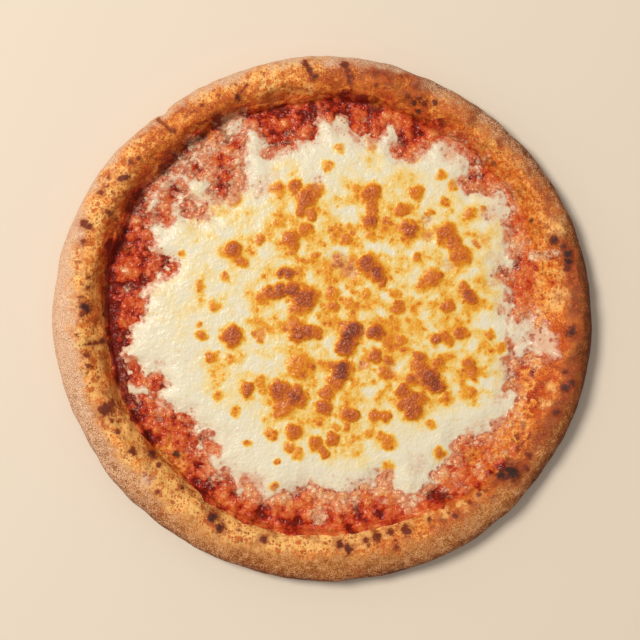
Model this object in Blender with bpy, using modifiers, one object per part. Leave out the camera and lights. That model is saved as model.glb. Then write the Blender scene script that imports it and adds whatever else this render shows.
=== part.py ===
"""A whole round cheese pizza: a risen crust, tomato sauce in it and melted mozzarella on top.

Units are metres and +Z is up. The pizza lies on z = 0 with its middle over the origin. Angles run
counter-clockwise from +X. A list of lengths in millimetres "round the pizza" is spaced evenly from 0 to
360 degrees, and a smooth closed curve goes through its values.
"""

import math

import bpy
import numpy as np
from mathutils import Vector, noise

MM = 0.001

# The crust, in millimetres. The rim was stretched by hand, so its width and height change on the way round.
OUTER_EDGE = (155.3, 152.6, 150.4, 151.2, 149.5, 153.3, 155.4, 152.8, 150.9, 151.2, 153.6, 154.4)
CREST_INSET = (7.5, 10.5, 12.0, 13.0, 12.5, 14.0, 16.0, 16.5, 17.0, 16.5, 14.5, 9.0)
CREST_HEIGHT = (20.5, 20.0, 20.0, 21.0, 22.0, 23.0, 24.0, 23.0, 22.0, 22.5, 21.5, 20.5)
RIM_FOOT = (
    120, 126, 130, 130, 127, 127, 125.5, 125, 127, 126, 127, 126,
    123.5, 123, 122.5, 121, 123, 124, 123.5, 124, 126, 125, 122, 119,
)
# The form of the rim's inner wall: 0.5 is a quarter ellipse, and a larger number leans the wall back more.
WALL_LEAN = (1.0, 0.8, 0.5, 0.45, 0.45, 0.45, 0.45, 0.45, 0.5, 0.5, 0.6, 0.95)
BASE_THICKNESS = 4.0
WAIST_HEIGHT = 10.0
UNDERSIDE_INSET = 11.0
BULGE_HEIGHT = 1.7
BULGE_LENGTH = 36.0
BUMP_HEIGHT = 0.6
BUMP_LENGTH = 14.0
BULGE_OUTWARD = 0.5

# The largest scorched bubbles on the rim: angle in degrees, radius from the middle and size in millimetres.
RIM_BUBBLES = (
    (202.5, 136, 6), (242.5, 134, 5), (275.5, 134, 4.5), (320.5, 141, 6.5), (344, 147, 5), (66, 138, 6),
)
RIM_BUBBLE_HEIGHT = 1.1

# The sauce, in millimetres. It is level under the cheese and lumpy where it shows.
SAUCE_THICKNESS = 1.7
SAUCE_LUMP_HEIGHT = 1.3
SAUCE_LUMP_LENGTH = 9.0
SAUCE_RIM_GAP = 0.9

# The cheese, in millimetres. It ran out in lobes, with notches between them.
CHEESE_EDGE = (
    110, 109, 122, 124, 116, 125, 116, 110, 113, 108, 106, 116,
    122, 119, 121, 119, 105, 105, 106, 113, 114, 109, 98, 105,
    107, 110, 102, 103, 105, 102, 111, 110, 113, 116, 113, 124,
)
CHEESE_RIM_GAP = 3.0
CHEESE_THICKNESS = 2.6
CHEESE_EDGE_THICKNESS = 0.8
CHEESE_EDGE_SLOPE = 10.0
CHEESE_SWELL = 0.45
CHEESE_SWELL_LENGTH = 24.0

# The largest browned blisters on the cheese: across, up and radius from the middle, in millimetres.
BLISTERS = (
    (-51, 39, 5), (-18, 45, 5), (-9, 68, 6), (28, 71, 5.5), (50, 51, 5), (72, 47, 7),
    (80, 35, 5.5), (64, 23, 5), (30, 28, 7), (84, 13, 5), (-9, 11, 7), (-27, 15, 4.5),
    (-51, -11, 6), (-12, -9, 6), (17, -13, 7.5), (31, -8, 5), (12, -31, 6.5), (57, -23, 5),
    (62, -35, 7), (66, -39, 5), (53, -53, 6), (-12, -28, 7.5), (-21, -46, 9.5), (2, -52, 5),
)
BLISTER_HEIGHT = 1.3
BLISTER_SKIRT = 1.25

LAYER_GAP = 0.3

# How finely the solids are divided.
RIM_STEPS = 132
SAUCE_RINGS = 6
CHEESE_GRID = 50


def around(values, angle):
    """The smooth closed curve through values spaced evenly round the pizza, read at an angle."""
    values = np.asarray(values, dtype=float)
    count = len(values)
    place = np.asarray(angle) / (2 * math.pi) % 1.0 * count
    step = np.floor(place).astype(int)
    t = place - step
    before, here, after, beyond = (values[(step + k) % count] for k in (-1, 0, 1, 2))
    rise = after - before
    bend = 2 * before - 5 * here + 4 * after - beyond
    twist = 3 * (here - after) + beyond - before
    return here + 0.5 * t * (rise + t * (bend + t * twist))


def cheese_edge(angle):
    """How far the cheese reaches from the middle at an angle, which is never onto the rim, in millimetres."""
    return min(float(around(CHEESE_EDGE, angle)), float(around(RIM_FOOT, angle)) - CHEESE_RIM_GAP)


def lumps(x, y, length, seed):
    """A smooth uneven height between about -1 and 1, whose bumps are about length apart."""
    return noise.noise(Vector((x / length, y / length, seed)))


def dome(away):
    """The height of a soft round bump of height 1, at a share of the way from its middle to its edge."""
    return (1 - away * away) ** 2 if away < 1 else 0.0


def turned(name, profile):
    """A mesh object turned about Z from a profile of (radius, height) pairs in millimetres."""
    mesh = bpy.data.meshes.new(name)
    points = [(radius * MM, 0.0, height * MM) for radius, height in profile]
    mesh.from_pydata(points, [(k, k + 1) for k in range(len(points) - 1)], [])
    piece = bpy.data.objects.new(name, mesh)
    bpy.context.scene.collection.objects.link(piece)
    screw = piece.modifiers.new("turn", "SCREW")
    screw.axis = "Z"
    screw.angle = 2 * math.pi
    screw.steps = RIM_STEPS
    screw.render_steps = RIM_STEPS
    screw.use_merge_vertices = True
    screw.merge_threshold = 0.00005
    turned_piece = piece.evaluated_get(bpy.context.evaluated_depsgraph_get())
    piece.data = bpy.data.meshes.new_from_object(turned_piece)
    piece.data.name = name
    piece.modifiers.clear()
    return piece


def quarter(start, end, steps, turns_up_first):
    """Points of a quarter ellipse from start to end, both included, as (radius, height) pairs."""
    points = []
    for k in range(steps + 1):
        turn = math.pi / 2 * k / steps
        along, across = math.sin(turn), 1 - math.cos(turn)
        share_r, share_z = (across, along) if turns_up_first else (along, across)
        points.append((start[0] + (end[0] - start[0]) * share_r, start[1] + (end[1] - start[1]) * share_z))
    return points


def crust_profile():
    """The rim of even width that is turned before it is made uneven, from the top's middle to the base's."""
    foot = (np.mean(RIM_FOOT), BASE_THICKNESS)
    crest = (np.mean(OUTER_EDGE) - np.mean(CREST_INSET), np.mean(CREST_HEIGHT))
    waist = (np.mean(OUTER_EDGE), WAIST_HEIGHT)
    underside = (waist[0] - UNDERSIDE_INSET, 0.0)
    wall = quarter(foot, crest, 7, turns_up_first=True)
    shoulder = quarter(crest, waist, 6, turns_up_first=False)
    under = quarter(waist, underside, 5, turns_up_first=True)
    return [(0.0, BASE_THICKNESS)] + wall[:-1] + shoulder + under[1:] + [(0.0, 0.0)]


def crust_point(x, y, z):
    """Where a point of the even rim lies on the uneven one, in millimetres."""
    angle = math.atan2(y, x)
    radius = math.hypot(x, y)
    crest = np.mean(OUTER_EDGE) - np.mean(CREST_INSET)
    even = (0, np.mean(RIM_FOOT), crest, np.mean(OUTER_EDGE))
    outer = float(around(OUTER_EDGE, angle))
    uneven = (0, float(around(RIM_FOOT, angle)), outer - float(around(CREST_INSET, angle)), outer)
    moved = float(np.interp(radius, even, uneven))
    low = BASE_THICKNESS if radius < crest else WAIST_HEIGHT
    height = float(around(CREST_HEIGHT, angle))
    if z > low:
        share = (z - low) / (np.mean(CREST_HEIGHT) - low)
        if radius < crest:
            share = share ** (2 * float(around(WALL_LEAN, angle)))
        z = low + share * (height - low)
    if z > BASE_THICKNESS:
        share = min(1.0, (z - BASE_THICKNESS) / (WAIST_HEIGHT - BASE_THICKNESS))
        swell = share * rim_swell(moved * math.cos(angle), moved * math.sin(angle), z)
        moved += swell * BULGE_OUTWARD
        z += swell
    return moved * math.cos(angle), moved * math.sin(angle), z


def rim_swell(x, y, z):
    """How far the risen dough bulges or sinks at a point of the rim, in millimetres."""
    here = Vector((x, y, z))
    swell = BULGE_HEIGHT * noise.noise(here / BULGE_LENGTH) + BUMP_HEIGHT * noise.noise(here / BUMP_LENGTH)
    for angle, radius, size in RIM_BUBBLES:
        middle = Vector((radius * math.cos(math.radians(angle)), radius * math.sin(math.radians(angle)), z))
        swell += RIM_BUBBLE_HEIGHT * dome((here - middle).length / size)
    return swell


def sauce_profile():
    """The level disc of sauce that is turned before it is made uneven, from its top's middle downward."""
    low = BASE_THICKNESS + LAYER_GAP
    top = low + SAUCE_THICKNESS
    inner, outer = np.mean(CHEESE_EDGE), np.mean(RIM_FOOT)
    rings = [(inner + (outer - inner) * k / SAUCE_RINGS, top) for k in range(SAUCE_RINGS + 1)]
    return [(0.0, top)] + rings + [(outer, low), (0.0, low)]


def sauce_point(x, y, z):
    """Where a point of the level disc lies on the lumpy sauce, in millimetres."""
    angle = math.atan2(y, x)
    radius = math.hypot(x, y)
    edge = float(around(RIM_FOOT, angle)) - SAUCE_RIM_GAP
    covered = cheese_edge(angle) + 1.0
    even = (0, np.mean(CHEESE_EDGE), np.mean(RIM_FOOT))
    moved = float(np.interp(radius, even, (0, covered, edge)))
    x, y = moved * math.cos(angle), moved * math.sin(angle)
    if z > BASE_THICKNESS + LAYER_GAP + SAUCE_THICKNESS / 2:
        bare = min(1.0, max(0.0, (moved - covered) / 4.0))
        z += SAUCE_LUMP_HEIGHT * bare * (0.4 + 0.6 * lumps(x, y, SAUCE_LUMP_LENGTH, 3.5))
    return x, y, z


def cheese_height(x, y, inset):
    """How far the cheese stands above its underside, at a point that lies inset inside its edge."""
    rounded = 1 - (1 - min(1.0, inset / CHEESE_EDGE_SLOPE)) ** 2
    swell = CHEESE_SWELL * lumps(x, y, CHEESE_SWELL_LENGTH, 7.5)
    height = CHEESE_EDGE_THICKNESS + rounded * (CHEESE_THICKNESS - CHEESE_EDGE_THICKNESS + swell)
    for centre_x, centre_y, radius in BLISTERS:
        height += BLISTER_HEIGHT * dome(math.hypot(x - centre_x, y - centre_y) / (BLISTER_SKIRT * radius))
    return height


def material(name, colour, roughness):
    """A plain coloured finish."""
    finish = bpy.data.materials.new(name)
    finish.use_nodes = True
    shader = finish.node_tree.nodes["Principled BSDF"]
    shader.inputs["Base Color"].default_value = (*colour, 1.0)
    shader.inputs["Roughness"].default_value = roughness
    shader.inputs["Metallic"].default_value = 0.0
    finish.diffuse_color = (*colour, 1.0)
    return finish


def reshape(piece, move):
    """Moves each vertex of a piece to where move says, which works in millimetres."""
    for vertex in piece.data.vertices:
        vertex.co = [MM * value for value in move(*(vertex.co / MM))]


def make_crust():
    """The baked dough: a thin flat base with a thick risen rim."""
    crust = turned("crust", crust_profile())
    reshape(crust, crust_point)
    return crust


def make_sauce():
    """The layer of tomato sauce on the base, right up to the rim."""
    sauce = turned("tomato_sauce", sauce_profile())
    reshape(sauce, sauce_point)
    return sauce


def make_cheese():
    """The melted sheet of cheese: a square grid bent to the shape of its edge, closed by a flat underside."""
    bpy.ops.mesh.primitive_grid_add(x_subdivisions=CHEESE_GRID, y_subdivisions=CHEESE_GRID, size=2.0)
    cheese = bpy.context.object
    cheese.name = cheese.data.name = "mozzarella"
    low = BASE_THICKNESS + LAYER_GAP + SAUCE_THICKNESS + LAYER_GAP
    for vertex in cheese.data.vertices:
        across, up = vertex.co.x, vertex.co.y
        reach = max(abs(across), abs(up))
        if reach > 0:
            side = math.pi / 4 * (up / across if abs(across) >= abs(up) else across / up)
            angle = side if abs(across) >= abs(up) else math.pi / 2 - side
            angle += math.pi if (across if abs(across) >= abs(up) else up) < 0 else 0
        else:
            angle = 0.0
        edge = cheese_edge(angle)
        x, y = reach * edge * math.cos(angle), reach * edge * math.sin(angle)
        vertex.co = (x * MM, y * MM, (low + cheese_height(x, y, (1 - reach) * edge)) * MM)
    close_below(cheese, low * MM)
    return cheese


def close_below(piece, level):
    """Closes an open sheet with a wall down from its edge and one flat face at a level."""
    mesh = piece.data
    use = {}
    for polygon in mesh.polygons:
        for pair in polygon.edge_keys:
            use[pair] = use.get(pair, 0) + 1
    corners = [tuple(vertex.co) for vertex in mesh.vertices]
    faces = [tuple(polygon.vertices) for polygon in mesh.polygons]
    following = {}
    for face in faces:
        for here, after in zip(face, face[1:] + face[:1]):
            if use[tuple(sorted((here, after)))] == 1:
                following[here] = after
    lower = {}
    for here in following:
        lower[here] = len(corners)
        corners.append((*corners[here][:2], level))
    faces += [(here, lower[here], lower[after], after) for here, after in following.items()]
    loop = [next(iter(following))]
    while following[loop[-1]] != loop[0]:
        loop.append(following[loop[-1]])
    faces.append(tuple(lower[here] for here in reversed(loop)))
    closed = bpy.data.meshes.new(mesh.name)
    closed.from_pydata(corners, [], faces)
    piece.data = closed
    bpy.data.meshes.remove(mesh)


def main():
    for piece in list(bpy.data.objects):
        bpy.data.objects.remove(piece)
    pizza = bpy.data.collections.new("cheese_pizza")
    bpy.context.scene.collection.children.link(pizza)
    finishes = {
        make_crust: material("baked_crust", (0.60, 0.29, 0.11), 0.75),
        make_sauce: material("tomato_sauce", (0.50, 0.10, 0.035), 0.35),
        make_cheese: material("melted_mozzarella", (0.83, 0.67, 0.37), 0.40),
    }
    for make, finish in finishes.items():
        piece = make()
        for holder in list(piece.users_collection):
            holder.objects.unlink(piece)
        pizza.objects.link(piece)
        piece.data.materials.append(finish)


main()
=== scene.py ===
"""A whole round cheese pizza: baked crust, wet tomato sauce and melted mozzarella, browned in spots.

The frame is in metres with +Z up, and the pizza lies on z = 0 with its middle over the origin. Lengths in
this script are millimetres, unless a comment says otherwise, and MM turns them into metres. Angles run
counter-clockwise from +X. A list "round the pizza" is spaced evenly from 0 to 360 degrees, with a smooth
closed curve through it. A bare number at the end of a call of field, lumps, flat_field or flat_lumps is the
seed of its noise.
"""

import math

import bpy
import numpy as np
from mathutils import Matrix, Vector, noise
from mathutils.bvhtree import BVHTree


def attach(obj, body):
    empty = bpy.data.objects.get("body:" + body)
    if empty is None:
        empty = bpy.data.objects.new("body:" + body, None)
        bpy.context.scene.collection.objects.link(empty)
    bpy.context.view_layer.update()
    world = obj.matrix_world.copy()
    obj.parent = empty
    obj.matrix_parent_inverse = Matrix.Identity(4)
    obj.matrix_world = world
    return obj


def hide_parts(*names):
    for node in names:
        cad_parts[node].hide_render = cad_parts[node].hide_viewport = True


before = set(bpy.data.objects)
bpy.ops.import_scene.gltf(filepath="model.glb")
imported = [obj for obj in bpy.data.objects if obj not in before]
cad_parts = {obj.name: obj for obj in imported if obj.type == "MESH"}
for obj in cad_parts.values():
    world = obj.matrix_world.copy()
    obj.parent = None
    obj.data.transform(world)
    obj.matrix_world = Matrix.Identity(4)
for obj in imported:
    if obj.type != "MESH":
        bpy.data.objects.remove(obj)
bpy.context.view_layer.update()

MM = 0.001
TINY = 1e-9

# ------------------------------------------------------------
# The crust. These sizes are the ones that its solid has.
OUTER_EDGE = (155.3, 152.6, 150.4, 151.2, 149.5, 153.3, 155.4, 152.8, 150.9, 151.2, 153.6, 154.4)
CREST_INSET = (7.5, 10.5, 12, 13, 12.5, 14, 16, 16.5, 17, 16.5, 14.5, 9)
CREST_HEIGHT = (20.5, 20, 20, 21, 22, 23, 24, 23, 22, 22.5, 21.5, 20.5)
RIM_FOOT = (
    120, 126, 130, 130, 127, 127, 125.5, 125, 127, 126, 127, 126,
    123.5, 123, 122.5, 121, 123, 124, 123.5, 124, 126, 125, 122, 119,
)
WALL_LEAN = (1.6, 1.1, 0.8, 0.75, 0.8, 0.8, 0.65, 0.65, 0.6, 0.6, 0.7, 1.3)
BASE_THICKNESS = 4.0
WAIST_HEIGHT = 10.0
UNDERSIDE_INSET = 11.0
BULGE_HEIGHT = 1.7
BULGE_LENGTH = 36.0
BUMP_HEIGHT = 0.6
BUMP_LENGTH = 14.0
BULGE_OUTWARD = 0.5
RIM_BUBBLES = (
    (202.5, 136, 6), (242.5, 134, 5), (275.5, 134, 4.5), (320.5, 141, 6.5), (344, 147, 5), (66, 138, 6),
)
RIM_BUBBLE_HEIGHT = 1.1

# How the inner wall swells inward and outward, as (height, length) of its swells.
WALL_SWELLS = ((2.6, 17.0), (1.3, 7.0))

# Finer relief of the crust, as (height, length) of its bumps: knobs of risen dough, small blebs, and pores.
KNOBS = (0.9, 8.0)
BLEBS = (0.45, 3.2)
PORES = (0.15, 1.9)

# Folds and creases in the dough: height, half width, and points across and up from the middle.
FOLDS = (
    (2.0, 4.5, ((112, -57), (108.6, -68), (107, -77), (99, -86))),
    (-2.2, 3.6, ((124.3, -66.9), (118.5, -75.1), (110.3, -81.7), (101.2, -89.9), (91.4, -97.2))),
    (1.5, 3.2, ((131, -40.5), (126.7, -53.7), (121.8, -60))),
    (0.9, 1.8, ((144, 33), (147.7, 16.9), (150.1, 3.8), (144.2, -2.5))),
    (1.2, 2.4, ((93, -88), (89.8, -98))),
    (0.9, 1.8, ((-24, -123.5), (-7, -125.2), (9, -123.8), (21, -121.3), (30, -119), (44, -117.8),
                (60, -110))),
    (-1.3, 2.6, ((-92, 118), (-87, 112), (-84, 106))),
    (-1.1, 2.4, ((-48, 135), (-46, 127))),
    (-0.9, 2.2, ((148, -26), (141, -25))),
)

# Scorched spots on the rim: angle in degrees, radius from the middle, size, and how dark.
SCORCHES = (
    (13, 143.5, 3, 1.05), (14.5, 144.5, 3, 1.1), (11.5, 142.5, 2.2, .8), (16.5, 143.5, 2.4, .9),
    (18.5, 139.5, 3, .9), (25, 132.5, 2, .7), (42, 132.5, 2.6, .55), (44, 131.5, 2.2, .5),
    (45, 142.5, 3.4, .4), (53, 140.5, 3.8, .45), (54, 144.5, 3, .35), (62.5, 138.5, 1.8, .8),
    (64.5, 135.5, 2.2, .8), (66, 136.5, 2.2, .8), (67, 133.5, 2.2, .85), (65, 130.5, 2.2, .8),
    (69, 135.5, 2, .6), (66, 127.5, 1.5, .6), (78, 143, 2.8, .55), (77, 136.5, 1.5, .6), (85, 144.5, 3, .75),
    (84, 141.5, 2.2, .75), (83.5, 138.5, 2.2, .8), (83.5, 135.5, 1.8, .6), (94, 145.5, 2, .7),
    (93, 141.5, 2.2, .8), (92, 137.5, 2.4, .9), (108, 139.5, 1.2, .6), (109.5, 137, 1.3, .6),
    (111, 134.5, 2.2, .8), (115, 139.5, 1.4, .5), (119.5, 138.5, 2, .55), (124, 138.5, 1.6, .4),
    (128.5, 136.5, 2.2, .55), (139, 138.5, 1.8, .6), (141, 140.5, 2.4, .55), (144.5, 137.5, 2.2, .8),
    (145.5, 139.5, 2.2, .7), (146.5, 146, 1.6, .5), (150.5, 145, 2.2, .6), (148.5, 143.5, 1, .6),
    (158.5, 146, 3, .75), (158.5, 142.5, 2.2, .7), (162.3, 143, 2.2, .7), (153.7, 136, 2.4, .6),
    (147.5, 134.5, 1.5, .5), (154.5, 131, 2, .5), (177.5, 135, 3, 1), (175, 138, 2.2, .5),
    (179, 136.5, 2.2, .6), (172.5, 134.5, 1.5, .6), (170, 135, 1.5, .5), (167, 141.5, 1.6, .4),
    (186.3, 133.5, 1.6, .6), (186.3, 130.5, 1.6, .7), (186, 127, 1.8, .8), (189, 135.5, 2.2, .6),
    (184, 140, 1.2, .5), (191.5, 135.5, 2, .55), (203, 134, 5, .75), (202, 130, 3.2, .6),
    (199, 131.5, 3.5, .3), (206, 133.5, 2, .6), (207, 130.5, 1.4, .5), (209, 133.5, 2, .55),
    (215, 132, 2.6, .7), (218.5, 124.5, 2.6, .85), (222, 126, 1.8, .6), (220, 124.5, 1.6, .5),
    (223, 115.5, 3, .75), (226.5, 136.5, 1.6, .6), (230.5, 126, 1.4, .7), (241, 130, 3.4, .95),
    (243.8, 133, 3, .9), (248.5, 130, 1.6, .5), (255, 131, 2.3, .85), (257.5, 127.5, 1.5, .4),
    (274.3, 130, 2.6, .85), (276.3, 132.5, 3, .85), (281, 129, 2, .75), (284, 129.5, 2.6, .75),
    (281.5, 132, 1.6, .5), (287.8, 137, 2.2, .75), (288, 133.5, 1.4, .6), (287.5, 128.5, 2.3, .7),
    (291.5, 130.5, 3.2, .75), (298, 130.5, 1.8, .6), (303.8, 136, 1.8, .75), (303, 132.5, 1.4, .5),
    (308.5, 134.5, 1.7, .55), (311.5, 135, 2, .55), (313.5, 136.5, 1.7, .5), (318.8, 136, 3.8, 1),
    (320.8, 139, 5.4, 1.15), (323.5, 144.5, 2.6, .65), (326.2, 142, 2.4, .8), (338, 144, 2.6, .9),
    (344, 144, 3, .95), (345.5, 147, 2.6, .9), (347.5, 142, 1.8, .9), (343.5, 131.5, 2.2, .4),
    (356.8, 142.5, 3.4, 1), (345, 127.5, 1.8, .55), (349, 149, 2.6, .35), (332, 130.5, 3, .45),
    (326, 134.5, 2.6, .45), (104, 144.5, 1.2, .4), (230, 144.5, 3, .3), (278, 146.5, 3.4, .3),
    (295, 145.5, 3.4, .25), (5, 135.5, 3, .3), (8, 138.5, 2.4, .35), (28, 145.5, 3, .35), (36, 145.5, 3, .35),
    (74, 142.5, 2, .4), (72, 144.5, 2, .4),
)

# How high the darkest scorched bubbles stand, the size from which they are that high, and how dark a scorch's
# halo is as a share of the scorch.
SCORCH_HEIGHT = 0.9
FULL_SCORCH = 3.0
SCORCH_HALO = 0.38

# Round the pizza: the radius where the pale flank starts, and how floury and pale the flank is.
FLANK_START = (
    147, 145.5, 143, 141, 144, 147, 145.5, 145, 146, 147, 148, 144,
    141, 141.5, 139, 139, 138, 136, 136, 138, 139, 140, 143.5, 147,
)
# The flank's flour is partly real flour and partly painted light and shade: paler on the side towards the
# lamp, browner on the side away from it.
FLOUR_AND_LIGHT = (-0.6, 0.1, 0.4, 1, 1.1, 1.05, 1.1, 0.55, 0.1, -0.05, 0.05, -0.15)

# How toasted the top of the rim is, and how much more so beyond its crest, partly real toasting and partly
# painted shade on the outer side away from the lamp.
TOAST = (
    0.35, 0.35, 0.4, 0.4, 0.55, 1.55, 0.6, 0.3, 0.7, 0.65, 0.1, -0.1,
    0, 0.15, 0.1, 0.05, 0.05, 0, 0.1, 0.3, 0.8, 1, 0.8, 0.6,
)
TOAST_AND_SHADE_BEYOND = (1.5, 0.55, 0.1, -0.3, -0.2, 0, 0.1, 0.2, 0.3, 0.3, 0.55, 0.9)

# How orange the rim's inner wall is, and how much paler than the top.
# Both are partly the dough's own colour and partly painted light: warmer and paler where the wall is in shade.
WALL_WARMTH_AND_SHADE_TINT = (0.2, 0.3, 0.5, 1, 1, 1, 1, 0.8, 0.55, 0.35, 0.3, 0.3)
PALE_AND_LIT_WALL = (0.2, 0.2, 0.2, 0.05, 0, 0.05, 0.4, 0.4, 0.45, 0.6, 0.3, 0.15)

# The radius inside which sauce has soaked the dough, how deep its colour gets, and how much more at the foot.
STAIN_START = (
    141, 137, 132, 132, 134, 134, 129, 129, 129, 129, 130, 132,
    129, 128, 126, 121, 120, 119, 119, 121, 127, 133, 136, 140,
)
STAIN_DEPTH = (0.5, 0.5, 0.6, 0.7, 0.75, 0.75, 0.5, 0.35, 0.35, 0.35, 0.45, 0.45)
STAIN_AT_FOOT = (0, 0, 0.05, 0.15, 0.35, 0.4, 0, 0, 0, 0, 0, 0)

# Cracks and dark creases in the crust: (angle, radius) of both ends, half width, and how dark.
CRACKS = (
    ((129.6, 148), (129, 137), 1.5, .5), ((94, 147), (92.3, 138), 1.3, .75),
    ((108, 140), (111, 134.5), .9, .6), ((85, 146), (83.5, 136), 1.2, .6), ((305, 124), (309, 130), 1.4, .4),
    ((309, 130), (317, 131.5), 1.4, .5), ((328, 131), (334, 127), 1.8, .5),
    ((334, 127), (340, 131), 1.4, .35), ((322, 134), (331, 136), 1.6, .45),
    ((349, 128), (347.5, 140), 1.4, .35), ((13.5, 128), (14.5, 138), 1.6, .3),
    ((186.3, 127), (186.5, 136), 1, .5),
)
CRACK_DEPTH = 0.6

# Pale golden dough in the soaked slope: across, up, radius and strength.
GOLD_PATCHES = (
    (-100, -87, 6, .9), (-99, -93, 5, .8), (-88, -101, 8, .5), (-18, -127, 4.5, 1), (-4, -128, 5, 1.1),
    (9, -129, 5, 1), (22, -127, 4.5, 1), (36, -123, 4.5, 1), (48, -119, 4.5, 1), (61, -113, 4, .9),
    (-32, -126, 5, .7), (133, 12, 9, .9), (127, 13, 5, .5), (131, 50, 8, .8), (126, 46, 6, .6),
    (119, 10, 7, .45), (121, 3, 6, .4), (109, -63, 6, .7), (127, -49, 5, .7), (131, -40, 4, .6),
    (97, -83, 5, .6), (90, -93, 5, .6), (136, 26, 5, .5), (110, 70, 8, .6), (103, 82, 6, .6),
    (-8, 130, 6, .5), (-27, 127, 6, .3), (-15, -124.5, 4, .5), (-5, -125.5, 4, .55), (6, -125.5, 4, .6),
    (17, -123.5, 4, .6), (28, -121.5, 4, .65), (39, -119.5, 4, .6), (50, -117.5, 4, .7), (60, -115, 4, .7),
    (70, -111.5, 4, .7), (80, -107, 4, .7), (89, -101.5, 4, .6), (-97, -92, 5, .6), (-92, -98, 4, .5),
    (-17, 129, 5, .4), (-36, 126, 5, .3),
)

# White residue of cheese on the sauce and the slope, and some painted glints on the wet sauce: across, up,
# radius and strength.
RESIDUE_AND_GLINTS = (
    (110, 39, 5, .9), (115, 41, 4, .8), (122, 36, 4.5, 1), (128, 35.5, 4.2, 1), (134, 37, 3.4, .9),
    (119, 44, 3, .6), (104, -77, 4, .6), (79, -83, 4.5, .7), (76, -92, 4.5, .5), (-2, -114, 6.5, 1),
    (-21, -104, 5, .8), (5, -106, 4, .5), (-36, -106, 3.5, .4), (20, -106, 4, .5), (44, -99, 4, .6),
    (54, -100, 5, .6), (62, -84, 4, .5), (80, -84, 4, .5), (43, 108, 3, .4), (24, 115, 3, .4),
    (8, 117, 2.5, .35), (-5, 115, 3, .3), (-14, 113, 2.5, .3), (-62, 100, 5, .5), (-58, 86, 5, .35),
    (-100, 62, 4, .6), (-114, 28, 3.5, .6), (-113, 17, 4, .5), (-113, -29, 3.5, .4), (-94, -60, 5, .4),
    (-78, -76, 5, .45), (-69, -92, 4, .4), (-22, -106, 4, .5), (12, -112, 4, .4), (-96, 86, 3, .3),
    (94, 92, 5, .5), (107, 72, 5, .4), (113, 52, 4, .5), (88, 100, 4, .4), (80, -96, 6, .5),
    (91, -88, 6, .55), (102, -72, 6, .5), (72, -100, 5, .45), (97, -80, 5, .5), (-100, -92, 5, .85),
)

# Sauce that has baked dry and golden: across, up, radius and strength.
DRY_PATCHES = (
    (-91, -79, 9, 1), (-82, -84, 8, .9), (-96, -82, 7, 1), (-87, -88, 7, .8), (-76, -90, 5, .6),
    (-88, -72, 6, .5), (85, 80, 8, .6), (92, 73, 7, .6), (-50, 112, 7, .5), (-66, 103, 8, .6),
    (-40, -113, 6, .5), (-60, -104, 5, .5), (100, -62, 10, .8), (88, -80, 9, .7), (112, -40, 8, .7),
    (-112, 40, 5, .4), (-100, 72, 6, .5),
)

# ------------------------------------------------------------
# The sauce. Its relief as (height, length): soft swells, and round lumps of pulp of three sizes.
SAUCE_THICKNESS = 1.7
LAYER_GAP = 0.3
SAUCE_SWELLS = (0.8, 12.0)
PULP_LUMPS = (1.3, 8.5)
PULP_BITS = (1.0, 4.8)
PULP_GRAINS = (0.45, 2.6)
LOWEST_DIP = -1.2
THINNEST_LAYER = 0.2

# How bright the sauce is, round the pizza: fresh and orange at 1, reduced and brown at 0.
SAUCE_BRIGHTNESS = (0.9, 0.8, 0.6, 0.46, 0.42, 0.42, 0.4, 0.45, 0.7, 1, 0.9, 0.85)

# How far the sauce lies up the rim's slope, round the pizza.
SAUCE_CLIMB = (
    10, 9, 8, 6.5, 5, 4, 3.5, 3.5, 3.5, 3.2, 3, 2.4,
    2, 1.8, 1.6, 1.2, 1.3, 1.3, 1.2, 1, 1.5, 7, 10, 10,
)
SAUCE_FILM = 0.55
THICKEST_FILM = 0.8
FILLET = 1.6

# How milky the sauce is beside the cheese, and how far it has baked dry on the rim's slope, round the pizza.
MILKINESS = (0.6, 0.6, 0.45, 0.3, 0.75, 0.45, 0.25, 0.4, 0.6, 0.75, 0.75, 0.6)
DRYNESS = (1, 0.9, 0.5, 0.6, 0.6, 0.6, 0.5, 0.3, 0, 0, 0.3, 0.9)

# How dark the sauce is in the valley at the rim's foot, partly stewed and partly painted shade, and how red in
# a wider band.
VALLEY = (0, 0, 0.1, 0.15, 0.2, 0.35, 0.55, 0.4, 0.1, 0, 0, 0)
RED_BAND = (0.2, 0.1, 0.2, 0.2, 0.1, 0.1, 0.1, 0.2, 0.6, 0.85, 0.75, 0.3)
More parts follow.
